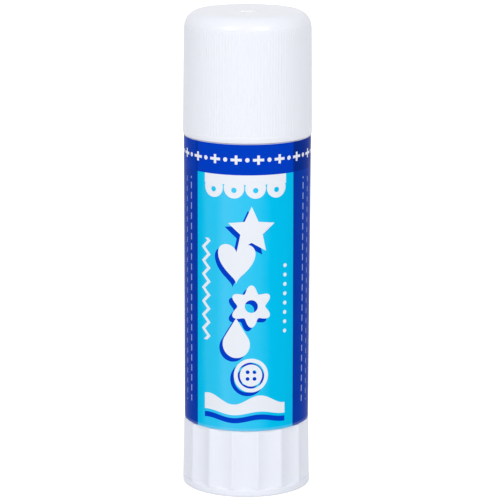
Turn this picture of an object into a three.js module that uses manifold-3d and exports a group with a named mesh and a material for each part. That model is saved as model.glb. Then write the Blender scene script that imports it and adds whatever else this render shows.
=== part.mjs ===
// A twist-up glue stick with its cap on, in millimetres, +Z up.
// The origin is the centre of the foot, and the front of the label faces -Y.
import * as THREE from "three";
import { mergeVertices } from "three/addons/utils/BufferGeometryUtils.js";
import Module from "manifold-3d";

const wasm = await Module();
wasm.setup();

// Clearances
const SEAT_GAP = 0.05; // between still pieces that lie face to face
const RUN_GAP = 0.3; // between pieces that turn or slide past each other
const FIT_GAP = 0.1; // between pieces pressed or cast together
const MARGIN = 1; // how far a cutter runs past what it cuts

// Facets
const ROUND = 48;
const ARC_STEPS = 6;

// Barrel and label
const LABEL_R = 14.54; // at its foot
const LABEL_DRAFT = 0.18; // how much wider it is at its top
const LABEL_WALL = 0.12;
const LABEL_MARGIN = 0.05;
const BARREL_LENGTH = 67.25;
const WEB_WALL = 1.8;
const NECK_LENGTH = 11.15;
const NECK_WALL = 0.9;
const RIM_CHAMFER = 0.3;
const NECK_BEAD_RISE = 0.25;
const NECK_BEAD_WIDTH = 1.2;
const NECK_BEAD_DROP = 5.2;
const SPIGOT_LENGTH = 7;
const SPIGOT_WALL = 1.3;
const SNAP_BEAD_WIDTH = 1.2;
const SNAP_BEAD_DROP = 4.2;

// Guide keys in the bore
const KEYS = 3;
const KEY_RISE = 0.6;
const KEY_WIDTH = 1.2;

// Cap and its inner seal
const CAP_HEIGHT = 28.33;
const CAP_SEAT_GAP = 0.15;
const CAP_OVERHANG = 0.18;
const CAP_DRAFT = 0.22;
const CAP_WALL = 0.9;
const CAP_TOP_WALL = 1.6;
const CAP_SHOULDER_WIDTH = 2.7;
const CAP_SHOULDER_HEIGHT = 4.4;
const CAP_BAND_HEIGHT = 1.2;
const CAP_EDGE = 0.15;
const GATE_R = 1.7;
const GATE_DEPTH = 0.25;
const BEAD_GAP = 0.15;
const LINER_WALL = 0.9;
const LINER_TOP_WALL = 1;

// Twist base
const KNOB_HEIGHT = 15.65;
const KNOB_GAP = 0.1; // under the barrel
const KNOB_RIM_OVERHANG = 0.36;
const KNOB_FOOT_OVERHANG = 0.51; // of the lands at their foot
const KNOB_TOP_OVERHANG = 0.26; // of the lands at their top
const KNOB_WALL = 1.1;
const KNOB_FLOOR = 1.6;
const RIM_HEIGHT = 1.95;
const FOOT_EDGE = 0.4;
const FOOT_RECESS = 1;
const FOOT_RING = 2.2;
const LEDGE_HEIGHT = 0.15;
const TOP_EDGE = 0.15;
const FLUTES = 16;
const FLUTE_DEPTH = 0.75;
const FLUTE_LAND = THREE.MathUtils.degToRad(3);
const FLUTE_TURN = THREE.MathUtils.degToRad(-1);
const FLUTE_STEPS = 5;
const SNAP_GROOVE_DEPTH = 0.6;
const HUB_WALL = 2;
const HUB_HEIGHT = 11;
const KNOB_RIBS = 8;
const KNOB_RIB_WALL = 1;
const KNOB_RIB_HEIGHT = 3.4;

// Lead screw: a left-hand thread, so that turning the base clockwise from below raises the glue
const LEAD = 5;
const THREAD_R = 3.2;
const THREAD_DEPTH = 0.9;
const THREAD_LENGTH = 65;
const THREAD_COLUMNS = 12;
const THREAD_ROWS = 8; // per turn of the thread
const JOURNAL_R = 3;
const FLANGE_R = 5.4;
const FLANGE_WALL = 1.1;
const SPLINES = 6;
const SPLINE_DEPTH = 0.6;
const GASKET_WALL = 1;

// Glue and its carrier
const GLUE_DROP = 2;
const GLUE_EDGE = 0.8;
const CARRIER_FLOOR = 1.5;
const CARRIER_WALL = 1;
const CARRIER_CUP = 3;
const NUT_WALL = 2.5;
const NUT_HEIGHT = 9;

// Radii that follow from the sizes above, from the outside in
const barrelR = LABEL_R - LABEL_WALL - SEAT_GAP;
const labelTopR = LABEL_R + LABEL_DRAFT;
const capMouthR = labelTopR + CAP_OVERHANG;
const capR = capMouthR - CAP_DRAFT;
const capBoreR = capR - CAP_WALL;
const linerR = capBoreR - FIT_GAP;
const linerBoreR = linerR - LINER_WALL;
const neckBeadR = capBoreR - BEAD_GAP;
const neckR = neckBeadR - NECK_BEAD_RISE;
const boreR = neckR - NECK_WALL;
const glueR = boreR - RUN_GAP;
const knobRimR = LABEL_R + KNOB_RIM_OVERHANG;
const knobFootR = LABEL_R + KNOB_FOOT_OVERHANG;
const knobTopR = LABEL_R + KNOB_TOP_OVERHANG;
const knobBoreR = knobTopR - FLUTE_DEPTH - KNOB_WALL;
const grooveR = knobBoreR + SNAP_GROOVE_DEPTH;
const spigotR = knobBoreR - RUN_GAP;
const snapBeadR = grooveR - RUN_GAP;
const spigotBoreR = spigotR - SPIGOT_WALL;
const splineR = JOURNAL_R;
const hubBoreR = splineR + FIT_GAP;
const hubR = hubBoreR + HUB_WALL;
const threadCoreR = THREAD_R - THREAD_DEPTH;
const nutR = THREAD_R + RUN_GAP + NUT_WALL;

// Heights that follow, from the floor up
const knobFloorTop = FOOT_RECESS + KNOB_FLOOR;
const hubTop = knobFloorTop + HUB_HEIGHT;
const barrelFoot = KNOB_HEIGHT + KNOB_GAP;
const spigotFoot = barrelFoot - SPIGOT_LENGTH;
const snapFoot = barrelFoot - SNAP_BEAD_DROP;
const webTop = barrelFoot + WEB_WALL;
const shoulderZ = barrelFoot + BARREL_LENGTH;
const neckRimZ = shoulderZ + NECK_LENGTH;
const neckBeadFoot = neckRimZ - NECK_BEAD_DROP;
const capMouthZ = shoulderZ + CAP_SEAT_GAP;
const capTopZ = capMouthZ + CAP_HEIGHT;
const capShoulderZ = capTopZ - CAP_SHOULDER_HEIGHT;
const capCeilingZ = capTopZ - CAP_TOP_WALL;
const gasketFoot = webTop + SEAT_GAP;
const gasketTop = gasketFoot + GASKET_WALL;
const flangeFoot = gasketTop + FIT_GAP;
const flangeTop = flangeFoot + FLANGE_WALL;
const threadTop = flangeTop + THREAD_LENGTH;
const plateFoot = flangeTop + RUN_GAP;
const plateTop = plateFoot + CARRIER_FLOOR;
const cupTop = plateTop + CARRIER_CUP;
const nutTop = plateTop + NUT_HEIGHT;
const glueTop = neckRimZ - GLUE_DROP;

// A geometry as a solid that can be joined and cut
function solid(geometry) {
  const bare = geometry.clone();
  bare.deleteAttribute("normal");
  bare.deleteAttribute("uv");
  const merged = mergeVertices(bare, 1e-4);
  return new wasm.Manifold(
    new wasm.Mesh({
      numProp: 3,
      vertProperties: merged.attributes.position.array,
      triVerts: new Uint32Array(merged.index.array),
    }),
  );
}

// A solid as a geometry for its mesh
function geometryOf(shape) {
  const mesh = shape.getMesh();
  const geometry = new THREE.BufferGeometry();
  geometry.setAttribute("position", new THREE.BufferAttribute(mesh.vertProperties, 3));
  geometry.setIndex(new THREE.BufferAttribute(mesh.triVerts, 1));
  geometry.computeVertexNormals();
  return geometry;
}

// A body of revolution about Z from an anticlockwise outline of [radius, height] points
function turned(outline) {
  const points = outline.map(([r, z]) => new THREE.Vector2(r, z));
  return solid(new THREE.LatheGeometry(points, ROUND).rotateX(Math.PI / 2));
}

// The same from an outline that closes on itself away from the axis
function turnedRing(outline) {
  return turned([...outline, outline[0]]);
}

// Points of a rounded shoulder, from the wall at its foot to the flat top
function shoulder(wallR, flatR, footZ, topZ) {
  return Array.from({ length: ARC_STEPS + 1 }, (_, i) => {
    const angle = (Math.PI / 2) * (i / ARC_STEPS);
    return [
      flatR + (wallR - flatR) * Math.cos(angle),
      footZ + (topZ - footZ) * Math.sin(angle),
    ];
  });
}

// An upright bar that runs outwards from the axis at a given angle
function radialBar(innerR, outerR, width, footZ, topZ, angle) {
  const bar = new THREE.BoxGeometry(outerR - innerR, width, topZ - footZ);
  bar.translate((innerR + outerR) / 2, 0, (footZ + topZ) / 2);
  return solid(bar.rotateZ(angle));
}

// Bars at equal turns about the axis, as one solid
function radialBars(count, ...size) {
  const bars = Array.from({ length: count }, (_, i) =>
    radialBar(...size, (i * 2 * Math.PI) / count),
  );
  return bars.reduce((all, bar) => all.add(bar));
}

// A solid skinned over rings of points, each ring anticlockwise seen from above, lowest first
function skinned(rings) {
  const count = rings[0].length;
  const last = rings.length - 1;
  const centre = (ring) => [0, 0, ring[0][2]];
  const points = [...rings.flat(), centre(rings[0]), centre(rings[last])];
  const triangles = [];
  for (let k = 0; k < count; k++) {
    const next = (k + 1) % count;
    for (let row = 0; row < last; row++) {
      const low = row * count;
      const high = low + count;
      triangles.push(low + k, low + next, high + next);
      triangles.push(low + k, high + next, high + k);
    }
    triangles.push(rings.length * count, next, k);
    triangles.push(rings.length * count + 1, last * count + k, last * count + next);
  }
  const geometry = new THREE.BufferGeometry();
  geometry.setAttribute("position", new THREE.Float32BufferAttribute(points.flat(), 3));
  geometry.setIndex(triangles);
  return solid(geometry);
}

// A threaded rod: at every height its radius follows the helix, grown by a clearance for the nut
function threadedRod(footZ, topZ, grow) {
  const rows = Math.ceil(((topZ - footZ) / LEAD) * THREAD_ROWS);
  const rings = Array.from({ length: rows + 1 }, (_, row) => {
    const z = footZ + ((topZ - footZ) * row) / rows;
    return Array.from({ length: THREAD_COLUMNS }, (_, column) => {
      const angle = (column * 2 * Math.PI) / THREAD_COLUMNS;
      const crest = 0.5 + 0.5 * Math.cos((2 * Math.PI * z) / LEAD + angle);
      const r = threadCoreR + THREAD_DEPTH * crest + grow;
      return [r * Math.cos(angle), r * Math.sin(angle), z];
    });
  });
  return skinned(rings);
}

// A splined bar, grown by a clearance for its socket
function splinedBar(footZ, topZ, grow) {
  const outline = new THREE.Shape(
    Array.from({ length: SPLINES * 2 }, (_, i) => {
      const angle = (i * Math.PI) / SPLINES;
      const r = splineR + grow - (i % 2 ? SPLINE_DEPTH : 0);
      return new THREE.Vector2(r * Math.cos(angle), r * Math.sin(angle));
    }),
  );
  const bar = new THREE.ExtrudeGeometry(outline, { depth: topZ - footZ, bevelEnabled: false });
  return solid(bar.translate(0, 0, footZ));
}

// Slots that let a sliding piece pass the keys in the bore
function keySlots(footZ, topZ) {
  const slotR = boreR - KEY_RISE - RUN_GAP;
  return radialBars(KEYS, slotR, boreR + MARGIN, KEY_WIDTH + 2 * RUN_GAP, footZ, topZ);
}

function barrel() {
  const tube = turnedRing([
    [spigotBoreR, spigotFoot],
    [spigotR - RIM_CHAMFER, spigotFoot],
    [spigotR, spigotFoot + RIM_CHAMFER],
    [spigotR, snapFoot],
    [snapBeadR, snapFoot + (snapBeadR - spigotR) / 2],
    [snapBeadR, snapFoot + SNAP_BEAD_WIDTH],
    [spigotR, snapFoot + SNAP_BEAD_WIDTH],
    [spigotR, barrelFoot],
    [barrelR, barrelFoot],
    [barrelR + LABEL_DRAFT, shoulderZ],
    [neckR, shoulderZ],
    [neckR, neckBeadFoot],
    [neckBeadR, neckBeadFoot + NECK_BEAD_WIDTH / 3],
    [neckBeadR, neckBeadFoot + (NECK_BEAD_WIDTH * 2) / 3],
    [neckR, neckBeadFoot + NECK_BEAD_WIDTH],
    [neckR, neckRimZ - RIM_CHAMFER],
    [neckR - RIM_CHAMFER, neckRimZ],
    [boreR, neckRimZ],
    [boreR, webTop],
    [JOURNAL_R + RUN_GAP, webTop],
    [JOURNAL_R + RUN_GAP, barrelFoot],
    [spigotBoreR, barrelFoot],
  ]);
  const rootedR = (boreR + barrelR) / 2;
  const keys = radialBars(KEYS, boreR - KEY_RISE, rootedR, KEY_WIDTH, barrelFoot, shoulderZ);
  return tube.add(keys);
}

function labelSleeve() {
  return turnedRing([
    [barrelR + SEAT_GAP, barrelFoot + LABEL_MARGIN],
    [LABEL_R, barrelFoot + LABEL_MARGIN],
    [labelTopR, shoulderZ - LABEL_MARGIN],
    [barrelR + LABEL_DRAFT + SEAT_GAP, shoulderZ - LABEL_MARGIN],
  ]);
}

function capShell() {
  const flatR = capR - CAP_SHOULDER_WIDTH;
  const outside = shoulder(capR, flatR, capShoulderZ, capTopZ);
  const inside = shoulder(capBoreR, flatR, capShoulderZ, capCeilingZ);
  return turned([
    [0, capCeilingZ],
    ...inside.reverse(),
    [capBoreR, capMouthZ],
    [capMouthR - CAP_EDGE, capMouthZ],
    [capMouthR, capMouthZ + CAP_EDGE],
    [capMouthR, capMouthZ + CAP_BAND_HEIGHT],
    ...outside,
    [GATE_R, capTopZ],
    [GATE_R - GATE_DEPTH, capTopZ - GATE_DEPTH],
    [0, capTopZ - GATE_DEPTH],
  ]);
}

function capSealLiner() {
  const flatR = capR - CAP_SHOULDER_WIDTH;
  const topZ = capCeilingZ - FIT_GAP;
  const lipZ = neckRimZ + CAP_SEAT_GAP;
  const outside = shoulder(linerR, flatR, capShoulderZ, topZ);
  const inside = shoulder(linerBoreR, flatR, capShoulderZ, topZ - LINER_TOP_WALL);
  return turned([
    [0, topZ - LINER_TOP_WALL],
    ...inside.reverse(),
    [linerBoreR, lipZ],
    [linerR, lipZ],
    ...outside,
    [0, topZ],
  ]);
}

// One ring of the twist base's fluted side: shallow hollows between narrow lands
function flutedRing(landR, z) {
  const pitch = (2 * Math.PI) / FLUTES;
  const half = (pitch - FLUTE_LAND) / 2;
  const front = -Math.PI / 2 + FLUTE_TURN;
  return Array.from({ length: FLUTES * (FLUTE_STEPS + 1) }, (_, i) => {
    const across = ((i % (FLUTE_STEPS + 1)) / FLUTE_STEPS) * 2 - 1;
    const angle = front + Math.floor(i / (FLUTE_STEPS + 1)) * pitch + across * half;
    const r = landR - FLUTE_DEPTH * (1 - across * across);
    return [r * Math.cos(angle), r * Math.sin(angle), z];
  });
}

// A ring of the plain foot, with its points under those of the flutes
function plainRing(radius, z) {
  return flutedRing(radius, z).map(([x, y]) => {
    const scale = radius / Math.hypot(x, y);
    return [x * scale, y * scale, z];
  });
}

function baseKnob() {
  const footEdge = Array.from({ length: ARC_STEPS / 2 + 1 }, (_, i) => {
    const angle = (Math.PI / 2) * (i / (ARC_STEPS / 2));
    return plainRing(
      knobRimR - FOOT_EDGE * (1 - Math.sin(angle)),
      FOOT_EDGE * (1 - Math.cos(angle)),
    );
  });
  const outside = skinned([
    ...footEdge,
    plainRing(knobRimR, RIM_HEIGHT),
    flutedRing(knobFootR, RIM_HEIGHT + LEDGE_HEIGHT),
    flutedRing(knobTopR, KNOB_HEIGHT - TOP_EDGE),
    flutedRing(knobTopR - TOP_EDGE, KNOB_HEIGHT),
  ]);
  const grooveFoot = snapFoot - RUN_GAP;
  const grooveTop = snapFoot + SNAP_BEAD_WIDTH + RUN_GAP;
  const inside = turned([
    [0, hubTop],
    [hubR, hubTop],
    [hubR, knobFloorTop],
    [knobBoreR, knobFloorTop],
    [knobBoreR, grooveFoot],
    [grooveR, grooveFoot + SNAP_GROOVE_DEPTH / 2],
    [grooveR, grooveTop],
    [knobBoreR, grooveTop],
    [knobBoreR, KNOB_HEIGHT + MARGIN],
    [0, KNOB_HEIGHT + MARGIN],
  ]);
  const recess = turned([
    [0, -MARGIN],
    [knobRimR - FOOT_RING, -MARGIN],
    [knobRimR - FOOT_RING, FOOT_RECESS],
    [0, FOOT_RECESS],
  ]);
  const rooted = Math.min(KNOB_WALL, HUB_WALL) / 2;
  const ribs = radialBars(
    KNOB_RIBS,
    hubR - rooted,
    knobBoreR + rooted,
    KNOB_RIB_WALL,
    knobFloorTop - KNOB_FLOOR / 2,
    knobFloorTop + KNOB_RIB_HEIGHT,
  );
  const socket = splinedBar(knobFloorTop, hubTop + MARGIN, FIT_GAP);
  return outside.subtract(inside).subtract(recess).add(ribs).subtract(socket);
}

function leadScrew() {
  const shaft = turned([
    [0, hubTop],
    [JOURNAL_R, hubTop],
    [JOURNAL_R, flangeFoot],
    [FLANGE_R, flangeFoot],
    [FLANGE_R, flangeTop],
    [0, flangeTop],
  ]);
  const splines = splinedBar(knobFloorTop + RUN_GAP, (hubTop + flangeFoot) / 2, 0);
  const thread = threadedRod((flangeFoot + flangeTop) / 2, threadTop, 0);
  return shaft.add(splines).add(thread);
}

function screwGasket() {
  return turnedRing([
    [JOURNAL_R + RUN_GAP, gasketFoot],
    [FLANGE_R, gasketFoot],
    [FLANGE_R, gasketTop],
    [JOURNAL_R + RUN_GAP, gasketTop],
  ]);
}

function glueCarrier() {
  const cupR = glueR - CARRIER_WALL;
  const skirtFoot = webTop + RUN_GAP;
  const cup = turned([
    [0, plateFoot],
    [cupR, plateFoot],
    [cupR, skirtFoot],
    [glueR, skirtFoot],
    [glueR, cupTop],
    [cupR, cupTop],
    [cupR, plateTop],
    [nutR, plateTop],
    [nutR, nutTop],
    [0, nutTop],
  ]);
  const thread = threadedRod(plateFoot - MARGIN, nutTop + MARGIN, RUN_GAP);
  return cup.subtract(thread).subtract(keySlots(skirtFoot - MARGIN, cupTop + MARGIN));
}

function glueCore() {
  const cupR = glueR - CARRIER_WALL - FIT_GAP;
  const core = turned([
    [0, plateTop + FIT_GAP],
    [cupR, plateTop + FIT_GAP],
    [cupR, cupTop + FIT_GAP],
    [glueR, cupTop + FIT_GAP],
    [glueR, glueTop - GLUE_EDGE],
    [glueR - GLUE_EDGE * (1 - Math.SQRT1_2), glueTop - GLUE_EDGE * (1 - Math.SQRT1_2)],
    [glueR - GLUE_EDGE, glueTop],
    [0, glueTop],
  ]);
  const hollow = turned([
    [0, plateTop - MARGIN],
    [nutR + FIT_GAP, plateTop - MARGIN],
    [nutR + FIT_GAP, nutTop + FIT_GAP],
    [THREAD_R + RUN_GAP, nutTop + FIT_GAP],
    [THREAD_R + RUN_GAP, threadTop + RUN_GAP],
    [0, threadTop + RUN_GAP],
  ]);
  return core.subtract(hollow).subtract(keySlots(cupTop, glueTop + MARGIN));
}

const white = { color: 0xf1f4fa, roughness: 0.35, metalness: 0 };
const pieces = [
  ["base_knob", baseKnob, white],
  ["lead_screw", leadScrew, { color: 0xe9ecee, roughness: 0.4, metalness: 0 }],
  ["screw_gasket", screwGasket, { color: 0x2c2d2f, roughness: 0.85, metalness: 0 }],
  ["barrel", barrel, white],
  ["label_sleeve", labelSleeve, { color: 0x0242c7, roughness: 0.2, metalness: 0 }],
  ["glue_carrier", glueCarrier, { color: 0xe9ecee, roughness: 0.4, metalness: 0 }],
  ["glue_core", glueCore, { color: 0xf4f2ea, roughness: 0.6, metalness: 0 }],
  ["cap_seal_liner", capSealLiner, { color: 0xeef0f0, roughness: 0.5, metalness: 0 }],
  ["cap_shell", capShell, white],
];

const glueStick = new THREE.Group();
for (const [name, build, looks] of pieces) {
  const mesh = new THREE.Mesh(geometryOf(build()), new THREE.MeshStandardMaterial(looks));
  mesh.name = name;
  glueStick.add(mesh);
}

export default glueStick;
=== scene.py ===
import math

import bmesh
import bpy
from mathutils import Matrix, Vector


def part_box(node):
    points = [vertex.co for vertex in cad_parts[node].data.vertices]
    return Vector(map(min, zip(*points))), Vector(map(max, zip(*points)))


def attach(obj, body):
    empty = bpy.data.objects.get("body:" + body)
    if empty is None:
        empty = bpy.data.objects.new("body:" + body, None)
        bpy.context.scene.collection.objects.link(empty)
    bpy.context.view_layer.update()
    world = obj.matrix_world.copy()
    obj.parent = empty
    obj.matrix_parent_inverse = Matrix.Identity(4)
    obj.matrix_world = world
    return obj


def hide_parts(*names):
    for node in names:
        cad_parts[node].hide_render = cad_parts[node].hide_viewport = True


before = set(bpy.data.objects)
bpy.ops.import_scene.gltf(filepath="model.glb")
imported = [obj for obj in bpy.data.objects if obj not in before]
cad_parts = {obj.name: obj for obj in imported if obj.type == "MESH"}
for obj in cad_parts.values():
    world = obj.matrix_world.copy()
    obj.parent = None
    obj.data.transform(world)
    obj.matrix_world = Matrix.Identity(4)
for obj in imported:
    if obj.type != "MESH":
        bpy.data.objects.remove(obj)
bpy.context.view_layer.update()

# Sizes are in millimetres and angles in degrees from the front, positive towards +X
MM = 0.001
X_ANGLE = 90


def reach(node):
    """A round node's radius, foot and top."""
    low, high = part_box(node)
    return max(high.x, high.y) / MM, low.z / MM, high.z / MM


CAP_R, CAP_MOUTH, CAP_TOP = reach("cap_shell")
LABEL_R, LABEL_FOOT, LABEL_TOP = reach("label_sleeve")
KNOB_R, _, KNOB_TOP = reach("base_knob")
BARREL_R, SPIGOT_FOOT, NECK_RIM = reach("barrel")
LINER_R, LINER_LIP, LINER_TOP = reach("cap_seal_liner")
GLUE_R, GLUE_FOOT, GLUE_TOP = reach("glue_core")
SCREW_R, SCREW_FOOT, SCREW_TOP = reach("lead_screw")

# Columns round a smooth body and a slotted one, and the ring that a pole closes
ROUND = 192
SLOT_COLUMNS = 720
POLE_R = 0.05

# Cap
CAP_DRAFT = 0.22
CAP_WALL = 0.9
CAP_TOP_WALL = 1.6
CAP_FLAT_R = 11.98
CAP_SHOULDER = 4.4
CAP_SWEEP = 69
CAP_FULLNESS = 2.4
CAP_BAND = 1.2
CAP_GATE_R = 1.6
CAP_GATE_DISH_R = 3.4
CAP_GATE_DEPTH = 0.24
RIBS = 130
RIB_RISE = 0.056
RIB_WIDTH = 0.5
RIB_TOP = CAP_TOP - 2.9

# Barrel and neck
SHOULDER = LABEL_TOP + 0.05
BARREL_FOOT = LABEL_FOOT - 0.05
LABEL_FOOT_R = 14.54
LABEL_DRAFT = LABEL_R - LABEL_FOOT_R
NECK_R = 13.38
NECK_BORE = 12.48
NECK_BEAD_R = 13.63
NECK_BEAD = NECK_RIM - 4.6
WEB_TOP = BARREL_FOOT + 1.8
WEB_BORE = 3.3
SPIGOT_R = 12.65
SPIGOT_BORE = 11.35
SNAP_R = 13.25
SNAP_FOOT = BARREL_FOOT - 4.2
KEYS = 3
KEY_RISE = 0.6
KEY_WIDTH = 1.2
RUN_GAP = 0.3

# Twist base
FLUTES = 16
FLUTE_TURN = -1
FLUTE_LAND = 1.6
FLUTE_DEPTH = 0.75
FOOT_RIM = 1.75
FOOT_EDGE = 0.45
RIDGE_FOOT_R = 15.04
RIDGE_TOP_R = 14.79
KNOB_BORE = 12.95
KNOB_GROOVE_R = 13.55
KNOB_FLOOR = 2.6
KNOB_RIBS = 8
FOOT_RECESS = 1
FOOT_RING_R = 12.7
HUB_R = 5.1
HUB_BORE = 3.1
HUB_TOP = KNOB_FLOOR + 11
SPLINES = 6
SPLINE_DEPTH = 0.6

# Glue and screw
GLUE_EDGE = 0.9
GLUE_BORE = 3.5
CARRIER_WALL = 1
CARRIER_PLATE = GLUE_FOOT - 1.6
CARRIER_CUP = GLUE_FOOT + 2.9
NUT_R = 6
NUT_TOP = GLUE_FOOT + 8.9
LEAD = 5
THREAD_R = 3.2
THREAD_DEPTH = 0.9
JOURNAL_R = 3
GASKET_FOOT = BARREL_FOOT + 1.85
GASKET_TOP = BARREL_FOOT + 2.85
FLANGE_FOOT = BARREL_FOOT + 2.95
FLANGE_TOP = FLANGE_FOOT + 1.1

# Label print, across the front from its middle and up from its foot
FILM_LIP = 0.05
SEAM = 47
OVERLAP = 12
PANEL_LEFT = -12.96
PANEL_RIGHT = 12.06
PANEL_LEAN = 0.0065
BAND_HEIGHT = 7.05
BAND_MARKS = 18
PRINT_EDGE = 2.4
STITCH_LINE = 15.6
STITCH_PITCH = 2.4
FILM_MARGIN = 0.02

# Shapes on the panel: their heights, and how far they stand off its middle
STAR_UP = 47.2
HEART_UP = 38.4
FLOWER_UP = 29.6
DROP_UP = 20.6
BUTTON_UP = 13.3
TO_RIGHT = 1.6
TO_LEFT = -1.9

# Light: how bright the floor looks to the camera and in reflections, and the sky's share
FLOOR_GLOW = 0.58
FLOOR_REFLECTED = 0.28
SKY_LIGHT = 0.55


def paint(red, green, blue):
    """A colour as the eye names it, from 0 to 255, in the shader's linear numbers."""
    shares = [channel / 255 for channel in (red, green, blue)]
    return tuple(
        share / 12.92 if share <= 0.04045 else ((share + 0.055) / 1.055) ** 2.4
        for share in shares
    ) + (1,)


class Wire:
    """A shader socket that takes part in sums."""

    def __init__(self, shader, socket):
        self.shader = shader
        self.socket = socket

    def math(self, operation, *values, clamp=False):
        settings = {"operation": operation, "use_clamp": clamp}
        return self.shader.node("Math", settings, dict(enumerate((self, *values))))

    def __add__(self, other):
        return self.math("ADD", other)

    def __radd__(self, other):
        return self.math("ADD", other)

    def __sub__(self, other):
        return self.math("SUBTRACT", other)

    def __rsub__(self, other):
        return self.math("MULTIPLY_ADD", -1, other)

    def __mul__(self, other):
        return self.math("MULTIPLY", other)

    def __rmul__(self, other):
        return self.math("MULTIPLY", other)

    def __truediv__(self, other):
        return self.math("DIVIDE", other)

    def __mod__(self, other):
        return self.math("FLOORED_MODULO", other)

    def __abs__(self):
        return self.math("ABSOLUTE")

    def __or__(self, other):
        return self.math("MINIMUM", other)

    def __and__(self, other):
        return self.math("MAXIMUM", other)

    def root(self):
        return self.math("SQRT")

    def sine(self):
        return self.math("SINE")

    def cosine(self):
        return self.math("COSINE")

    def inside(self, blur=0.05):
        """Full where a distance is below nothing, with a narrow printed edge."""
        return self.math("MULTIPLY_ADD", -1 / blur, 0.5, clamp=True)


class Shader:
    """A material whose nodes are written as expressions."""

    def __init__(self, name):
        self.material = bpy.data.materials.new(name)
        self.material.use_nodes = True
        self.tree = self.material.node_tree
        self.tree.nodes.clear()
        place = self.node("TexCoord", out="Object")
        self.place = self.node("VectorMath", {"operation": "SCALE"}, {0: place, "Scale": 1 / MM})

    def node(self, kind, settings=None, inputs=None, out=0):
        made = self.tree.nodes.new("ShaderNode" + kind)
        for key, value in (settings or {}).items():
            if key == "stops":
                self.set_stops(made.color_ramp.elements, value)
            else:
                setattr(made, key, value)
        for key, value in (inputs or {}).items():
            if isinstance(value, Wire):
                self.tree.links.new(value.socket, made.inputs[key])
            else:
                made.inputs[key].default_value = value
        return Wire(self, made.outputs[out]) if made.outputs else made

    @staticmethod
    def set_stops(elements, stops):
        while len(elements) < len(stops):
            elements.new(1)
        for element, (position, colour) in zip(elements, stops):
            element.position = position
            element.color = colour

    def coordinates(self):
        """The place on the piece, in millimetres, as three wires."""
        parts = self.node("SeparateXYZ", None, {0: self.place}).socket.node.outputs
        return [Wire(self, part) for part in parts]

    def noise(self, scale, detail=2, stretch=(1, 1, 1)):
        """Soft random variation from 0 to 1, with scale in features to the millimetre."""
        spread = {"operation": "MULTIPLY"}
        at = self.node("VectorMath", spread, {0: self.place, 1: stretch})
        return self.node("TexNoise", None, {"Vector": at, "Scale": scale, "Detail": detail})

    def mix(self, share, one, other):
        inputs = {0: share, 6: one, 7: other}
        return self.node("Mix", {"data_type": "RGBA", "clamp_factor": True}, inputs, out=2)

    def bump(self, height, distance, strength=1):
        """A relief whose height, from 0 to 1, is a distance in millimetres."""
        inputs = {"Height": height, "Distance": distance * MM, "Strength": strength}
        return self.node("Bump", None, inputs)

    def surface(self, colour, roughness, relief=None, fixed=None):
        inputs = {"Base Color": colour, "Roughness": roughness, **(fixed or {})}
        if relief is not None:
            inputs["Normal"] = relief
        body = self.node("BsdfPrincipled", None, inputs)
        self.node("OutputMaterial", None, {"Surface": body})
        return self.material


def moulded_plastic(name, colour, shade, roughness=0.3, sheen=0.35, gate=False):
    """Moulded plastic with faint flow clouds, a fine grain and, if asked for, a glossy gate mark
    tinted whiter as a painted highlight.
    """
    shader = Shader(name)
    cloud = shader.noise(0.12, 3)
    grain = shader.noise(5, 2)
    tint = shader.mix(cloud, paint(*colour), paint(*shade))
    gloss = roughness + (grain - 0.5) * 0.12
    relief = shader.bump(grain + shader.noise(0.6) * 0.6, 0.012, 0.5)
    fixed = {"IOR": 1.49, "Specular IOR Level": sheen}
    if gate:
        x, y, z = shader.coordinates()
        mark = (disc(x, y, CAP_GATE_R) & (CAP_TOP - 1 - z)).inside()
        gloss = gloss - mark * (roughness - 0.08)
        # The gate disc's whiter tint is a painted highlight; its low roughness and coat give real
        # gloss
        tint = shader.mix(mark, tint, paint(250, 250, 255))
        fixed.update({"Coat Weight": mark, "Coat Roughness": 0.05, "Coat IOR": 2.2})
    return shader.surface(tint, gloss, relief, fixed)


def rubber(name):
    shader = Shader(name)
    grain = shader.noise(6, 3)
    tint = shader.mix(grain, paint(38, 38, 40), paint(58, 58, 60))
    return shader.surface(tint, 0.7 + grain * 0.2, shader.bump(grain, 0.02))


def glue_wax(name):
    """The glue: a translucent off-white wax with faint flow marks and a few pinholes."""
    shader = Shader(name)
    flow = shader.noise(0.25, 4, (1, 1, 0.3))
    holes = shader.node(
        "TexVoronoi", {"feature": "F1"}, {"Vector": shader.place, "Scale": 0.55}, out="Distance"
    )
    pit = (0.16 - holes).math("MULTIPLY", 8, clamp=True)
    tint = shader.mix(flow, paint(246, 245, 240), paint(232, 229, 218))
    relief = shader.bump(flow * 0.7 - pit, 0.05)
    depth = {
        "Subsurface Weight": 0.25,
        "Subsurface Radius": (1, 0.9, 0.7),
        "Subsurface Scale": 1.5 * MM,
    }
    return shader.surface(tint, 0.42 + flow * 0.15, relief, depth)


def star(across, up, tip, notch):
    """How far outside a five-pointed star a place is."""
    turn = math.pi / 5
    angle = abs((across.math("ARCTAN2", up) + turn) % (2 * turn) - turn)
    away = (across * across + up * up).root()
    edge = tip * angle.sine() + notch * (turn - angle).sine()
    return away * edge / (tip * math.sin(turn)) - notch


def heart(across, up, size):
    wide = across / size
    tall = up / size
    lobe = tall * 1.2 - abs(wide).root() * 0.95
    return ((wide * wide + lobe * lobe).root() - 1) * size


def flower(across, up, size, petals, wave):
    angle = across.math("ARCTAN2", up)
    away = (across * across + up * up).root()
    return away - (angle * petals).cosine() * wave - size


def disc(across, up, size):
    return (across * across + up * up).root() - size


def drop(across, up, size, tip):
    """A drop with its tip above."""
    slope = size / math.sqrt(tip * tip - size * size)
    cone = (abs(across) + (up - tip) * slope) & (size * size / tip - up)
    return disc(across, up, size) | cone


def bar(across, up, wide, tall):
    return (abs(across) - wide / 2) & (abs(up) - tall / 2)


def between(place, low, high):
    """How far outside two limits a place is."""
    return abs(place - (low + high) / 2) - (high - low) / 2


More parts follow.
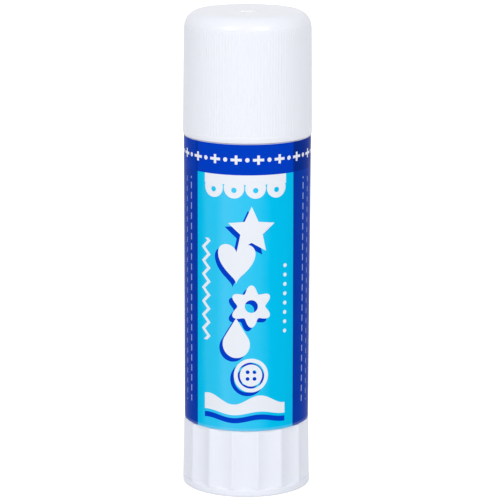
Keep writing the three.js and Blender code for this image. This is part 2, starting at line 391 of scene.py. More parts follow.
def label_film(name):
    """The printed film: colour fields, a column of craft shapes and stitched lines, with a painted
    sheen on the panel and a painted highlight along the foot.
    """
    shader = Shader(name)
    x, y, z = shader.coordinates()
    up = z - LABEL_FOOT
    height = LABEL_TOP - LABEL_FOOT
    across = x.math("ARCTAN2", y * -1) * (up * (LABEL_DRAFT / height) + LABEL_FOOT_R)
    left = PANEL_LEFT
    right = PANEL_RIGHT - PANEL_LEAN * height / 2
    middle = (left + right) / 2
    width = right - left
    white = paint(240, 244, 252)
    royal = paint(0, 64, 202)
    navy = paint(0, 56, 168)
    cyan = paint(0, 196, 244)
    soft = paint(44, 202, 247)
    sky = paint(71, 206, 250)

    # Plain fields; the panel's cyan runs lighter left of its middle, partly print and partly a
    # painted sheen
    on_panel = (left - across) & (across - PANEL_RIGHT + up * PANEL_LEAN)
    band_edge = height - BAND_HEIGHT
    on_band = band_edge - up
    print_and_sheen_tones = [(0.05, cyan), (0.12, soft), (0.23, soft), (0.31, sky), (0.63, soft), (0.75, cyan)]
    share = (across - left) / width + (shader.noise(0.35) - 0.5) * 0.06
    field = shader.node("ValToRGB", {"stops": print_and_sheen_tones}, {0: share})
    side = shader.mix(shader.noise(0.3), navy, paint(2, 62, 176))
    colour = shader.mix(on_panel.inside(), side, field)

    # White lace under the band and a white wave near the foot, each kept off the panel's edges
    kept = between(across, left + PRINT_EDGE, right - PRINT_EDGE)
    lace_pitch = (width - 2 * PRINT_EDGE) / 4
    phase = (across - (left + PRINT_EDGE)) % lace_pitch - lace_pitch / 2
    lace_edge = band_edge - 3
    scallops = disc(phase, up - lace_edge, lace_pitch / 2 - 0.12) | (lace_edge + 0.8 - up)
    eyelets = disc(phase, up - lace_edge + 0.5, 0.62)
    colour = shader.mix((scallops & (eyelets * -1) & kept).inside(), colour, white)
    ripple = (across * (2 * math.pi / 12.4)).sine() * 1.1
    wave = (up - 7.4 - ripple) & (4.2 - up + ripple * 0.4)
    stripe = abs(up - 2.9 - ripple * 0.4) - 0.62
    colour = shader.mix((wave & kept).inside(), colour, white)
    colour = shader.mix((stripe & kept).inside(), colour, royal)

    # The column of shapes, each with a royal-blue shadow down and to the left
    def shapes(sideways, lift):
        right_at = across - middle - sideways - TO_RIGHT
        left_at = across - middle - sideways - TO_LEFT
        level = up - lift
        upper = star(right_at, level - STAR_UP, 5.7, 2.7) | heart(left_at, level - HEART_UP, 4.4)
        petals = flower(right_at, level - FLOWER_UP, 4.1, 6, 0.85)
        blossom = petals & (disc(right_at, level - FLOWER_UP, 1.5) * -1)
        button_at = level - BUTTON_UP
        groove = abs(disc(right_at, button_at, 2.85)) - 0.25
        holes = disc(abs(right_at) - 0.8, abs(button_at) - 0.8, 0.45)
        button = disc(right_at, button_at, 4) & (groove * -1) & (holes * -1)
        return upper | blossom | drop(left_at, level - DROP_UP, 3.2, 6.2) | button

    colour = shader.mix(shapes(-0.85, -0.9).inside(), colour, royal)
    colour = shader.mix(shapes(0, 0).inside(), colour, white)

    # A zigzag braid and a line of dots beside the shapes
    zigzag = abs((up - 22) % 3.2 - 1.6) - 0.8
    braid = abs(across - middle + 9.6 - zigzag) - 0.5
    colour = shader.mix((braid & between(up, 21, 45)).inside(), colour, white)
    beads = disc(across - middle - 9.9, (up - 20) % 2.2 - 1.1, 0.45)
    colour = shader.mix((beads & between(up, 22.2, 39.8)).inside(), colour, white)

    # The band, darkest just past the panel's right edge, with its row of crosses and dots
    past_panel = (across - right - 2).math("MULTIPLY", 1 / 28, clamp=True)
    before_panel = (left - across).math("MULTIPLY", 1, clamp=True)
    beside_band = shader.mix(past_panel & before_panel, paint(0, 45, 145), paint(0, 60, 182))
    band = shader.mix(on_panel.inside(), beside_band, paint(0, 63, 198))
    colour = shader.mix(on_band.inside(), colour, band)
    row_up = height - 3.55
    half_pitch = math.pi * (LABEL_FOOT_R + LABEL_DRAFT * row_up / height) / BAND_MARKS
    mark_at = across % (2 * half_pitch) - half_pitch
    row = up - row_up
    cross = bar(mark_at, row, 2.6, 0.62) | bar(mark_at, row, 0.62, 2.1)
    marks = cross | disc(abs(mark_at) - half_pitch, row, 0.5)
    colour = shader.mix(marks.inside(), colour, white)

    # Two rows of running stitches down each side, a strong one and a fine one
    stitch_at = abs(across) - STITCH_LINE
    half_stitch = STITCH_PITCH / 2
    strong = bar(stitch_at, up % STITCH_PITCH - half_stitch, 0.42, 1.5)
    fine_row = (up + half_stitch) % STITCH_PITCH - half_stitch
    fine = bar(stitch_at - 2.4, fine_row, 0.32, 1.2)
    stitches = (strong | fine) & (up - band_edge + 1.6) & (5 - up)
    colour = shader.mix(stitches.inside(), colour, paint(150, 168, 226))

    # The print is lightened just above the foot, a painted highlight along the film's lower edge,
    # and stops short of the film's top edge
    foot_edge_highlight = (0.8 - up).math("MULTIPLY", 0.2, clamp=True)
    colour = shader.mix(foot_edge_highlight, colour, white)
    colour = shader.mix((height - FILM_MARGIN - up).inside(), colour, white)
    grain = shader.noise(7, 2)
    relief = shader.bump(shader.noise(0.35, 2) + grain * 0.05, 0.02, 0.5)
    return shader.surface(colour, 0.26 + grain * 0.06, relief, {"Specular IOR Level": 0.012})


def smooth_mesh(mesh, sharp=38):
    """Turns the faces out and shades them smooth up to an angle."""
    work = bmesh.new()
    work.from_mesh(mesh)
    bmesh.ops.remove_doubles(work, verts=work.verts, dist=1e-4 * MM)
    bmesh.ops.recalc_face_normals(work, faces=work.faces)
    work.to_mesh(mesh)
    work.free()
    mesh.shade_smooth()
    mesh.set_sharp_from_angle(angle=math.radians(sharp))
    return mesh


def skin(name, rings, closed=False, joined=True):
    """A mesh over rings of points in millimetres; unless the outline closes, poles end it."""
    columns = len(rings[0])
    points = [tuple(c * MM for c in point) for ring in rings for point in ring]
    rows = len(rings)
    faces = []
    for row in range(rows if closed else rows - 1):
        low, high = row * columns, (row + 1) % rows * columns
        for k in range(columns if joined else columns - 1):
            after = (k + 1) % columns
            faces.append((low + k, low + after, high + after, high + k))
    if not closed and joined:
        for row in (0, rows - 1):
            pole = len(points)
            points.append((0, 0, rings[row][0][2] * MM))
            start = row * columns
            faces += [(start + k, start + (k + 1) % columns, pole) for k in range(columns)]
    mesh = bpy.data.meshes.new(name)
    mesh.from_pydata(points, [], faces)
    return mesh


def ring(radius, z, columns=ROUND):
    """Points round the axis; the radius is a number or a rule of the angle in degrees."""
    points = []
    for k in range(columns):
        angle = 360 * k / columns - 180
        r = radius(angle) if callable(radius) else radius
        points.append(polar(r, angle, z))
    return points


def polar(radius, angle, z):
    turn = math.radians(angle)
    return (radius * math.sin(turn), -radius * math.cos(turn), z)


def rounded(corners, steps=4):
    """An outline from (radius, height, fillet) corners, with each fillet as an arc."""
    outline = []
    for i, (r, z, fillet) in enumerate(corners):
        here = Vector((r, z))
        if not fillet:
            outline.append((r, z))
            continue
        back = (Vector(corners[i - 1][:2]) - here).normalized()
        on = (Vector(corners[(i + 1) % len(corners)][:2]) - here).normalized()
        half = math.acos(max(-1, min(1, back.dot(on)))) / 2
        centre = here + (back + on).normalized() * fillet / math.sin(half)
        start = here + back * fillet / math.tan(half) - centre
        end = here + on * fillet / math.tan(half) - centre
        first = math.atan2(start.y, start.x)
        sweep = (math.atan2(end.y, end.x) - first + math.pi) % (2 * math.pi) - math.pi
        for k in range(steps + 1):
            angle = first + sweep * k / steps
            away = centre.x + fillet * math.cos(angle)
            up = centre.y + fillet * math.sin(angle)
            outline.append((away, up))
    return outline


def shoulder_reach(wall_r, flat_r, foot, top, sweep, fullness):
    """The whole run and rise of the curve that a shoulder is the first part of."""
    power = 2 / fullness
    last = math.radians(sweep)
    run = (wall_r - flat_r) / (1 - math.cos(last) ** power)
    rise = (top - foot) / math.sin(last) ** power
    return run, rise


def shoulder(wall_r, flat_r, foot, top, sweep=90, fullness=2, steps=18):
    """Points of a rounded shoulder, fuller than an ellipse, that may end short of level."""
    run, rise = shoulder_reach(wall_r, flat_r, foot, top, sweep, fullness)
    power = 2 / fullness
    points = []
    for k in range(steps + 1):
        angle = math.radians(sweep * k / steps)
        inward = run * (1 - max(math.cos(angle), 0) ** power)
        points.append((wall_r - inward, foot + rise * math.sin(angle) ** power))
    return points


def turned(name, outline, closed=False, columns=ROUND):
    return skin(name, [ring(r, z, columns) for r, z in outline], closed)


def ring_of_copies():
    """A node tree that repeats a mesh at equal turns about the axis and welds what meets."""
    tree = bpy.data.node_groups.new("ring_of_copies", "GeometryNodeTree")
    face = tree.interface
    face.new_socket("Geometry", in_out="INPUT", socket_type="NodeSocketGeometry")
    face.new_socket("Count", in_out="INPUT", socket_type="NodeSocketInt")
    face.new_socket("First Turn", in_out="INPUT", socket_type="NodeSocketFloat")
    face.new_socket("Weld", in_out="INPUT", socket_type="NodeSocketFloat")
    face.new_socket("Material", in_out="INPUT", socket_type="NodeSocketMaterial")
    face.new_socket("Geometry", in_out="OUTPUT", socket_type="NodeSocketGeometry")

    def node(kind, settings=None, inputs=None):
        made = tree.nodes.new(kind)
        for key, value in (settings or {}).items():
            setattr(made, key, value)
        for key, value in (inputs or {}).items():
            if isinstance(value, bpy.types.NodeSocket):
                tree.links.new(value, made.inputs[key])
            else:
                made.inputs[key].default_value = value
        return made

    given = node("NodeGroupInput").outputs
    points = node("GeometryNodePoints", None, {"Count": given["Count"]})
    index = node("GeometryNodeInputIndex")
    step = node("ShaderNodeMath", {"operation": "DIVIDE"}, {0: 2 * math.pi, 1: given["Count"]})
    turn = node(
        "ShaderNodeMath",
        {"operation": "MULTIPLY_ADD"},
        {0: index.outputs[0], 1: step.outputs[0], 2: given["First Turn"]},
    )
    about = node("ShaderNodeCombineXYZ", None, {"Z": turn.outputs[0]})
    copies = node(
        "GeometryNodeInstanceOnPoints",
        None,
        {"Points": points.outputs[0], "Instance": given["Geometry"], "Rotation": about.outputs[0]},
    )
    real = node("GeometryNodeRealizeInstances", None, {"Geometry": copies.outputs[0]})
    welded = node(
        "GeometryNodeMergeByDistance",
        None,
        {"Geometry": real.outputs[0], "Distance": given["Weld"]},
    )
    dressed = node(
        "GeometryNodeSetMaterial",
        None,
        {"Geometry": welded.outputs[0], "Material": given["Material"]},
    )
    out = node("NodeGroupOutput")
    tree.links.new(dressed.outputs[0], out.inputs[0])
    return tree


COPIES = ring_of_copies()


def repeated(mesh, count, material, first_turn=0, weld=0.0):
    """The mesh repeated round the axis by the node tree, as one plain mesh."""
    source = bpy.data.objects.new("source", mesh)
    bpy.context.scene.collection.objects.link(source)
    modifier = source.modifiers.new("copies", "NODES")
    modifier.node_group = COPIES
    values = {
        "Count": count,
        "First Turn": math.radians(first_turn),
        "Weld": weld * MM,
        "Material": material,
    }
    for item in COPIES.interface.items_tree:
        if item.in_out == "INPUT" and item.name in values:
            modifier[item.identifier] = values[item.name]
    shaped = source.evaluated_get(bpy.context.evaluated_depsgraph_get())
    result = bpy.data.meshes.new_from_object(shaped)
    source.modifiers.remove(modifier)
    bpy.data.objects.remove(source)
    return result


def place_piece(name, mesh, body, slot, material, *nodes):
    """Shows a mesh as a piece that rides on a body and stands for its CAD nodes."""
    if not mesh.materials:
        mesh.materials.append(material)
    piece = bpy.data.objects.new(name, mesh)
    bpy.context.scene.collection.objects.link(piece)
    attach(piece, body)
    if nodes:
        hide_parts(*nodes)


CAP_CURVE = (
    CAP_R - CAP_DRAFT,
    CAP_FLAT_R,
    CAP_TOP - CAP_SHOULDER,
    CAP_TOP,
    CAP_SWEEP,
    CAP_FULLNESS,
)


def cap_radius(z):
    """The cap's outer radius at a height, with its draft and its shoulder."""
    wall, _, foot, _, _, fullness = CAP_CURVE
    if z <= foot:
        return CAP_R - CAP_DRAFT * (z - CAP_MOUTH) / (foot - CAP_MOUTH)
    run, rise = shoulder_reach(*CAP_CURVE)
    share = (z - foot) / rise
    return wall - run * (1 - (1 - share**fullness) ** (1 / fullness))


def make_cap(material):
    foot = CAP_TOP - CAP_SHOULDER
    bore = CAP_R - CAP_DRAFT - CAP_WALL
    ceiling = CAP_TOP - CAP_TOP_WALL
    band = CAP_MOUTH + CAP_BAND
    inside = shoulder(bore, CAP_FLAT_R - 0.6, foot, ceiling)
    mouth = rounded(
        [
            (bore, CAP_MOUTH + 2, 0),
            (bore, CAP_MOUTH - 0.05, 0.2),
            (CAP_R - 0.1, CAP_MOUTH - 0.05, 0.3),
            (CAP_R, band - 0.15, 0.6),
            (cap_radius(band), band, 0.06),
            (cap_radius(band) - RIB_RISE, band + 0.1, 0.04),
            (cap_radius(foot) - RIB_RISE, foot, 0),
        ]
    )
    ribbed = [(cap_radius(z) - RIB_RISE, z) for z in (foot + 0.5, foot + 1, RIB_TOP)]
    outside = [point for point in shoulder(*CAP_CURVE) if point[1] > RIB_TOP + 0.1]
    gate = rounded(
        [
            (CAP_FLAT_R, CAP_TOP, 0),
            (CAP_GATE_DISH_R, CAP_TOP, 2),
            (CAP_GATE_R, CAP_TOP - CAP_GATE_DEPTH, 2),
            (POLE_R, CAP_TOP - CAP_GATE_DEPTH, 0),
        ]
    )
    outline = [(POLE_R, ceiling)] + inside[::-1] + mouth[1:] + ribbed
    outline += [(cap_radius(RIB_TOP + 0.07), RIB_TOP + 0.07)] + outside[:-1] + gate
    mesh = smooth_mesh(turned("cap_skin", outline), 15)
    place_piece("cap_skin", mesh, "cap", "cap_shell", material, "cap_shell")


def make_cap_ribs(material):
    """Low half-round bars, sunk in the wall, that end in a crisp line on the shoulder."""
    foot = CAP_MOUTH + CAP_BAND + 0.05
    bend = CAP_TOP - CAP_SHOULDER
    heights = [foot + (bend - foot) * k / 4 for k in range(4)]
    heights += [bend + (RIB_TOP + 0.05 - bend) * k / 5 for k in range(6)]
    across = [-0.5, -0.32, 0, 0.32, 0.5]
    rings = []
    for z in heights:
        wall = cap_radius(z) - RIB_RISE
        points = []
        for a in across:
            rise = RIB_RISE * (1 - (2 * a) ** 2) ** 0.5
            points.append(polar(wall + rise, math.degrees(a * RIB_WIDTH / wall), z))
        for a in (0.5, -0.5):
            points.append(polar(wall - 0.15, math.degrees(a * RIB_WIDTH / wall), z))
        rings.append(points)
    rib = skin("rib", rings)
    for pole, ring_points in zip(rib.vertices[-2:], (rings[0], rings[-1])):
        pole.co = Vector(ring_points[0]).lerp(Vector(ring_points[5]), 0.5) * MM
    mesh = repeated(smooth_mesh(rib, 60), RIBS, material)
    place_piece("cap_ribs", mesh, "cap", "cap_shell", material)


def make_liner(material):
    wall = 0.9
    foot = CAP_TOP - CAP_SHOULDER
    ceiling = LINER_TOP - 1
    bore = LINER_R - wall
    flat = CAP_FLAT_R - 0.8
    inside = shoulder(bore, flat, foot, ceiling)
    lip = rounded(
        [
            (bore, LINER_LIP + 2, 0),
            (bore, LINER_LIP, 0.25),
            (LINER_R, LINER_LIP, 0.25),
            (LINER_R, foot, 0),
        ]
    )
    outside = shoulder(LINER_R, flat, foot, LINER_TOP)
    outline = [(POLE_R, ceiling)] + inside[::-1] + lip[1:-1] + outside
    outline.append((POLE_R, LINER_TOP))
    mesh = smooth_mesh(turned("seal_cup", outline))
    place_piece("seal_cup", mesh, "cap", "cap_seal_liner", material, "cap_seal_liner")


def make_label(material):
    """A thin sleeve whose end lies over its start, with a small step at the seam."""
    columns = 720
    edge = 0.04

    def rim(z, inset=0.0):
        taper = LABEL_DRAFT * (z - LABEL_FOOT) / (LABEL_TOP - LABEL_FOOT)

        def outer(angle):
            seam = SEAM * LABEL_FOOT_R / (LABEL_FOOT_R + taper)
            before = (seam - angle) / OVERLAP
            lip = FILM_LIP * min(1, max(0, (1 - before) * 4)) if 0 <= before <= 1 else 0
            return LABEL_FOOT_R + taper - FILM_LIP + lip - inset

        return ring(outer, z, columns)

    backing = BARREL_R + 0.03
    rings = [
        ring(backing - LABEL_DRAFT, LABEL_FOOT, columns),
        rim(LABEL_FOOT, edge),
        rim(LABEL_FOOT + edge),
        rim(LABEL_TOP - edge),
        rim(LABEL_TOP, edge),
        ring(backing, LABEL_TOP, columns),
    ]
    mesh = smooth_mesh(skin("label_film", rings, closed=True))
    place_piece("label_film", mesh, "barrel", "label_sleeve", material, "label_sleeve")


def make_barrel(material):
    outline = rounded(
        [
            (SPIGOT_BORE, SPIGOT_FOOT, 0.2),
            (SPIGOT_R, SPIGOT_FOOT, 0.3),
            (SPIGOT_R, SNAP_FOOT, 0.05),
            (SNAP_R, SNAP_FOOT + 0.3, 0.1),
            (SNAP_R, SNAP_FOOT + 1.2, 0.1),
            (SPIGOT_R, SNAP_FOOT + 1.2, 0.05),
            (SPIGOT_R, BARREL_FOOT, 0.1),
            (BARREL_R - LABEL_DRAFT, BARREL_FOOT, 0.08),
            (BARREL_R, SHOULDER, 0.15),
            (NECK_R, SHOULDER, 0.2),
            (NECK_R, NECK_BEAD - 0.6, 0.15),
            (NECK_BEAD_R, NECK_BEAD - 0.2, 0.15),
            (NECK_BEAD_R, NECK_BEAD + 0.2, 0.15),
            (NECK_R, NECK_BEAD + 0.6, 0.15),
            (NECK_R, NECK_RIM, 0.35),
            (NECK_BORE, NECK_RIM, 0.3),
            (NECK_BORE, WEB_TOP, 0.3),
            (WEB_BORE, WEB_TOP, 0.1),
            (WEB_BORE, BARREL_FOOT, 0.1),
            (SPIGOT_BORE, BARREL_FOOT, 0.3),
        ]
    )
    mesh = smooth_mesh(turned("barrel_tube", outline, closed=True), 50)
    place_piece("barrel_tube", mesh, "barrel", "barrel", material, "barrel")


def make_keys(material):
    """The guide keys stand up the bore, with rounded crests."""
    root, crest = NECK_BORE + 0.3, NECK_BORE - KEY_RISE
    section = rounded(
        [
            (root, -KEY_WIDTH / 2, 0),
            (root, KEY_WIDTH / 2, 0),
            (crest, KEY_WIDTH / 2, 0.2),
            (crest, -KEY_WIDTH / 2, 0.2),
        ]
    )
    rings = [[(r, y, z) for r, y in section] for z in (WEB_TOP - 0.3, SHOULDER)]
    key = skin("key", rings)
    for pole in key.vertices[-2:]:
        pole.co.x = (root + crest) / 2 * MM
    mesh = repeated(smooth_mesh(key), KEYS, material)
    place_piece("guide_keys", mesh, "barrel", "barrel", material)


def flute_depth(angle):
    """How deep the flute is at an angle from its middle, with a flat land at each side."""
    half = (360 / FLUTES - FLUTE_LAND) / 2
    share = min(1, abs(angle) / half)
    return FLUTE_DEPTH * (1 - share * share)


def recess_bead(inner, outer, rise):
    """Corners of a low ring that stands out of the recess under the foot."""
    return [
        (inner, FOOT_RECESS, 0.05),
        (inner + 0.1, FOOT_RECESS - rise, 0.08),
        (outer - 0.1, FOOT_RECESS - rise, 0.08),
        (outer, FOOT_RECESS, 0.05),
    ]


def make_knob(material):
    """One flute's share of the twist base, repeated round the axis and welded into one body."""
    plain, cut = 0, 1
    outline = [
        (*point, plain)
        for point in rounded(
            [
                (0, FOOT_RECESS, 0),
                *recess_bead(1.2, 2, 0.2),
                *recess_bead(8.2, 9.2, 0.25),
                (FOOT_RING_R, FOOT_RECESS, 0.3),
                (FOOT_RING_R, 0, 0.2),
                (KNOB_R, 0, FOOT_EDGE),
                (KNOB_R, FOOT_RIM - 0.2, 0.1),
                (KNOB_R - 0.07, FOOT_RIM - 0.03, 0),
            ]
        )
    ]
    middle = ((RIDGE_FOOT_R + RIDGE_TOP_R) / 2, (FOOT_RIM + KNOB_TOP) / 2)
    outline += [
        (KNOB_R - 0.1, FOOT_RIM, 0.1),
        (KNOB_R - 0.1, FOOT_RIM + 0.01, 0.6),
        (RIDGE_FOOT_R - 0.04, FOOT_RIM + 0.03, 0.95),
        (RIDGE_FOOT_R, FOOT_RIM + 0.08, cut),
        (RIDGE_FOOT_R, FOOT_RIM + 0.5, cut),
        (*middle, cut),
        (RIDGE_TOP_R, KNOB_TOP - 0.25, cut),
        (RIDGE_TOP_R - 0.02, KNOB_TOP - 0.08, cut),
        (RIDGE_TOP_R - 0.1, KNOB_TOP + 0.03, cut),
        (RIDGE_TOP_R - 0.25, KNOB_TOP + 0.06, cut),
    ]
    outline += [
        (*point, plain)
        for point in rounded(
            [
                (KNOB_BORE + 0.4, KNOB_TOP + 0.06, 0),
                (KNOB_BORE, KNOB_TOP - 0.4, 0),
                (KNOB_BORE, SNAP_FOOT + 1.5, 0),
                (KNOB_GROOVE_R, SNAP_FOOT + 1.5, 0),
                (KNOB_GROOVE_R, SNAP_FOOT, 0),
                (KNOB_BORE, SNAP_FOOT - 0.3, 0),
                (KNOB_BORE, KNOB_FLOOR, 0.5),
                (0, KNOB_FLOOR, 0),
            ]
        )
    ]
    columns = 12
    pitch = 360 / FLUTES
    hollow = (pitch - FLUTE_LAND) / 2
    steps = range(1, columns + 1)
    side = [hollow * math.sin(math.pi / 2 * k / columns) for k in steps] + [pitch / 2]
    angles = [-a for a in reversed(side)] + [0] + side
    rings = [[polar(r - share * flute_depth(a), a, z) for a in angles] for r, z, share in outline]
    sector = skin("sector", rings, joined=False)
    mesh = repeated(sector, FLUTES, material, FLUTE_TURN, weld=2e-3)
    place_piece("twist_base", smooth_mesh(mesh, 24), "base", "base_knob", material, "base_knob")


def spline_radius(grow):
    """A rule of the angle for a six-splined bar, grown for its socket."""

    def radius(angle):
        wave = 0.5 + 0.5 * math.cos(math.radians((angle - X_ANGLE) * SPLINES))
        return JOURNAL_R + grow - SPLINE_DEPTH * (1 - wave)

    return radius


def make_hub(material):
    """The splined socket in the middle of the twist base, and the ribs that brace it."""
    socket = spline_radius(HUB_BORE - JOURNAL_R)
    floor = KNOB_FLOOR - 0.2
    outline = [
        (HUB_R + 0.4, floor),
        (HUB_R + 0.4, KNOB_FLOOR),
        (HUB_R, KNOB_FLOOR + 0.5),
        (HUB_R, HUB_TOP - 0.2),
        (HUB_R - 0.2, HUB_TOP),
        (HUB_BORE + 0.3, HUB_TOP),
        (socket, HUB_TOP - 0.4),
        (socket, floor),
    ]
    hub = smooth_mesh(turned("hub", outline, closed=True, columns=96))
    place_piece("screw_socket", hub, "base", "base_knob", material)
    section = rounded(
        [
            (KNOB_FLOOR - 0.3, -0.6, 0),
            (KNOB_FLOOR - 0.3, 0.6, 0),
            (KNOB_FLOOR + 3.4, 0.5, 0.25),
            (KNOB_FLOOR + 3.4, -0.5, 0.25),
        ]
    )
    ends = (HUB_R - 0.4, KNOB_BORE + 0.4)
    rib = skin("rib", [[(r, side, z) for z, side in section] for r in ends])
    for pole, r in zip(rib.vertices[-2:], ends):
        pole.co = Vector((r, 0, KNOB_FLOOR + 1.5)) * MM
    ribs = repeated(smooth_mesh(rib), KNOB_RIBS, material)
    place_piece("socket_ribs", ribs, "base", "base_knob", material)


def thread_radius(z, grow=0.0):
    """A rule of the angle for the left-hand thread at a height, grown for its nut."""

    def radius(angle):
        crest = 0.5 + 0.5 * math.cos(2 * math.pi * z / LEAD + math.radians(angle - X_ANGLE))
        return THREAD_R - THREAD_DEPTH * (1 - crest) + grow

    return radius


def stations(foot, top, step=0.25):
    count = math.ceil((top - foot) / step)
    return [foot + (top - foot) * k / count for k in range(count + 1)]


def make_screw(material):
    """The lead screw: splined foot, journal, flange and a long coarse thread."""
    columns = 48
    splines = spline_radius(0)
    rings = [ring(lambda a: splines(a) - 0.4, SCREW_FOOT, columns)]
    rings += [ring(splines, z, columns) for z in (SCREW_FOOT + 0.4, HUB_TOP - 0.1)]
    turned_part = rounded(
        [
            (JOURNAL_R, HUB_TOP + 0.4, 0),
            (JOURNAL_R, FLANGE_FOOT, 0.15),
            (SCREW_R, FLANGE_FOOT, 0.2),
            (SCREW_R, FLANGE_TOP, 0.2),
            (THREAD_R, FLANGE_TOP, 0.3),
            (THREAD_R, FLANGE_TOP + 0.4, 0),
        ]
    )
    rings += [ring(r, z, columns) for r, z in turned_part]
    thread = stations(FLANGE_TOP + 0.6, SCREW_TOP - 0.5)
    rings += [ring(thread_radius(z), z, columns) for z in thread]
    rings.append(ring(thread_radius(SCREW_TOP, -0.5), SCREW_TOP, columns))
    mesh = smooth_mesh(skin("screw_rod", rings), 50)
    place_piece("screw_rod", mesh, "base", "lead_screw", material, "lead_screw")


def make_gasket(material):
    outline = rounded(
        [
            (JOURNAL_R + RUN_GAP, GASKET_FOOT, 0.25),
            (SCREW_R, GASKET_FOOT, 0.25),
            (SCREW_R, GASKET_TOP, 0.25),
            (JOURNAL_R + RUN_GAP, GASKET_TOP, 0.25),
        ]
    )
    mesh = smooth_mesh(turned("gasket_ring", outline, closed=True, columns=96), 50)
    place_piece("gasket_ring", mesh, "barrel", "screw_gasket", material, "screw_gasket")


def slotted(radius, depth):
    """A rule of the angle for a round piece with a straight slot over each guide key."""
    half = KEY_WIDTH / 2 + RUN_GAP
    floor = radius - depth
    pitch = 360 / KEYS
    edge = 0.12

    def rule(angle):
        from_key = (angle - X_ANGLE + pitch / 2) % pitch - pitch / 2
        sideways = radius * math.sin(math.radians(from_key))
        share = min(1, max(0, (abs(sideways) - half) / edge + 0.5))
        return floor + depth * share

    return rule


def slotted_rings(points, cut_from):
    """Rings through an outline, cut back to the slots above a height."""
    slots = slotted(GLUE_R, KEY_RISE + RUN_GAP - (NECK_BORE - GLUE_R))
    rings = []
    for r, z in points:
        rings.append(ring(lambda a: min(r, slots(a)) if z > cut_from else r, z, SLOT_COLUMNS))
    return rings


def make_carrier(material):
    """The cup that carries the glue, with its threaded nut and the slots for the keys."""
    inner = GLUE_R - CARRIER_WALL
    skirt = WEB_TOP + RUN_GAP
    plate_top = CARRIER_PLATE + 1.5
    outline = rounded(
        [
            (GLUE_BORE + 0.1, CARRIER_PLATE, 0),
            (inner, CARRIER_PLATE, 0.3),
            (inner, skirt, 0.15),
            (GLUE_R, skirt, 0.25),
            (GLUE_R, CARRIER_CUP, 0.25),
            (inner, CARRIER_CUP, 0.15),
            (inner, plate_top, 0.3),
            (NUT_R, plate_top, 0.4),
            (NUT_R, NUT_TOP, 0.3),
            (GLUE_BORE + 0.1, NUT_TOP, 0),
        ]
    )
    rings = slotted_rings(outline, 0)
    bore = stations(CARRIER_PLATE + 0.2, NUT_TOP - 0.2)[::-1]
    rings += [ring(thread_radius(z, RUN_GAP), z, SLOT_COLUMNS) for z in bore]
    mesh = smooth_mesh(skin("carrier_cup", rings, closed=True), 50)
    place_piece("carrier_cup", mesh, "glue", "glue_carrier", material, "glue_carrier")


def make_glue(material):
    """The cast glue: a rounded end, grooves over the keys and the bore that the screw leaves."""
    inner = GLUE_R - CARRIER_WALL - 0.1
    outline = rounded(
        [
            (POLE_R, SCREW_TOP + RUN_GAP, 0),
            (GLUE_BORE, SCREW_TOP + RUN_GAP, 0.5),
            (GLUE_BORE, NUT_TOP + 0.1, 0.2),
            (NUT_R + 0.1, NUT_TOP + 0.1, 0.2),
            (NUT_R + 0.1, GLUE_FOOT, 0.1),
            (inner, GLUE_FOOT, 0.2),
            (inner, CARRIER_CUP + 0.1, 0),
            (GLUE_R, CARRIER_CUP + 0.1, 0.15),
            (GLUE_R, GLUE_TOP, GLUE_EDGE),
            (POLE_R, GLUE_TOP, 0),
        ],
        steps=6,
    )
    rings = slotted_rings(outline, CARRIER_CUP)
    mesh = smooth_mesh(skin("glue_body", rings), 40)
    place_piece("glue_body", mesh, "glue", "glue_core", material, "glue_core")


def make_camera():
    """The photograph's view: a long lens, a little above the cap, pitched down."""
    focal_px = 2906.3
    frame_px = 500
    pitch, yaw, roll = 12.39, -0.055, 0.22
    aside, back, above = 0.06, 660.1, 200.45
    camera = bpy.data.objects.new("camera", bpy.data.cameras.new("camera"))
    camera.data.lens = camera.data.sensor_width * focal_px / frame_px
    turn = Matrix.Rotation(math.radians(yaw), 4, "Z")
    tilt = Matrix.Rotation(math.radians(90 - pitch), 4, "X")
    lean = Matrix.Rotation(math.radians(roll), 4, "Z")
    place = Matrix.Translation(Vector((aside, -back, above)) * MM)
    camera.matrix_world = place @ turn @ tilt @ lean
    bpy.context.scene.collection.objects.link(camera)
    bpy.context.scene.camera = camera


def make_floor():
    """Pale paper that glows for the camera and, less, in reflections, but keeps the shadow."""
    shader = Shader("floor_paper")
    path = shader.node("LightPath").socket.node.outputs
    reflected = Wire(shader, path["Is Glossy Ray"])
    reflected = reflected.math("ADD", Wire(shader, path["Is Transmission Ray"]), clamp=True)
    strength = Wire(shader, path["Is Camera Ray"]) * FLOOR_GLOW + reflected * FLOOR_REFLECTED
    grain = shader.noise(0.5)
    tint = shader.mix(grain, paint(231, 231, 231), paint(234, 234, 234))
    glow = {"Emission Color": (1, 1, 1, 1), "Emission Strength": strength}
    shader.surface(tint, 0.9, None, glow)
    half = 3
    corners = [(-half, -half, 0), (half, -half, 0), (half, half, 0), (-half, half, 0)]
    mesh = bpy.data.meshes.new("floor")
    mesh.from_pydata(corners, [], [(0, 1, 2, 3)])
    mesh.materials.append(shader.material)
    floor = bpy.data.objects.new("floor", mesh)
    bpy.context.scene.collection.objects.link(floor)


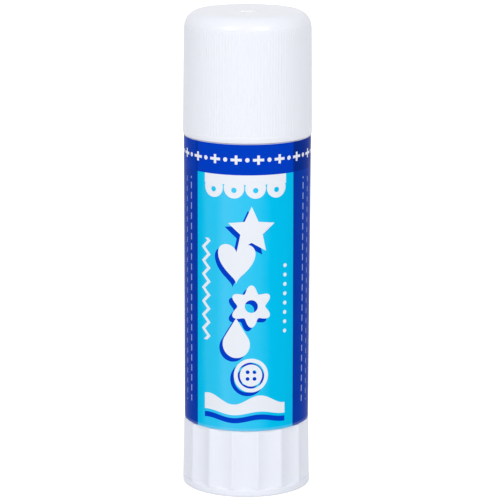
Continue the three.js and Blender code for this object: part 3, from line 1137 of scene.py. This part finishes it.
def make_world():
    """An even white sky: full to the camera and in reflections, weaker as a light."""
    world = bpy.data.worlds.new("studio")
    world.use_nodes = True
    bpy.context.scene.world = world
    tree = world.node_tree
    tree.nodes.clear()
    path = tree.nodes.new("ShaderNodeLightPath").outputs
    seen = path["Is Camera Ray"]
    for ray in ("Is Glossy Ray", "Is Transmission Ray"):
        either = tree.nodes.new("ShaderNodeMath")
        either.operation = "MAXIMUM"
        tree.links.new(seen, either.inputs[0])
        tree.links.new(path[ray], either.inputs[1])
        seen = either.outputs[0]
    strength = tree.nodes.new("ShaderNodeMapRange")
    strength.inputs["To Min"].default_value = SKY_LIGHT
    strength.inputs["To Max"].default_value = 1
    tree.links.new(seen, strength.inputs["Value"])
    sky = tree.nodes.new("ShaderNodeBackground")
    sky.inputs["Color"].default_value = (1, 1, 1, 1)
    tree.links.new(strength.outputs[0], sky.inputs["Strength"])
    out = tree.nodes.new("ShaderNodeOutputWorld")
    tree.links.new(sky.outputs[0], out.inputs["Surface"])


def make_lamp(name, azimuth, elevation, distance, size, power, gloss=True):
    """A soft square lamp aimed at the stick's middle; without gloss it leaves no glint."""
    lamp = bpy.data.lights.new(name, "AREA")
    lamp.size = size
    lamp.energy = power
    holder = bpy.data.objects.new(name, lamp)
    a, e = math.radians(azimuth), math.radians(elevation)
    way = Vector((math.sin(a) * math.cos(e), -math.cos(a) * math.cos(e), math.sin(e)))
    place = Vector((0, 0, CAP_TOP / 2 * MM)) + way * distance
    facing = way.to_track_quat("Z", "Y").to_matrix().to_4x4()
    holder.matrix_world = Matrix.Translation(place) @ facing
    holder.visible_glossy = gloss
    bpy.context.scene.collection.objects.link(holder)


make_camera()
make_floor()
make_world()
make_lamp("front_left", -36, 35, 1.1, 0.22, 2.76)
make_lamp("front_right", 28, 35, 1.1, 0.22, 2.89)
make_lamp("behind", 180, 8, 1.1, 0.3, 1.9, gloss=False)

white_plastic = moulded_plastic("white_plastic", (245, 247, 255), (241, 245, 255), 0.3, 0.15)
cap_plastic = moulded_plastic("cap_plastic", (245, 247, 255), (242, 245, 254), gate=True)
natural_plastic = moulded_plastic("natural_plastic", (233, 235, 234), (225, 227, 226), 0.4)
soft_plastic = moulded_plastic("soft_plastic", (232, 235, 236), (224, 227, 229), 0.5)

make_cap(cap_plastic)
make_cap_ribs(cap_plastic)
make_liner(soft_plastic)
make_label(label_film("label_film"))
make_barrel(white_plastic)
make_keys(white_plastic)
make_knob(white_plastic)
make_hub(white_plastic)
make_screw(natural_plastic)
make_gasket(rubber("gasket_rubber"))
make_carrier(natural_plastic)
make_glue(glue_wax("glue_wax"))

bpy.context.scene.view_settings.view_transform = "Standard"
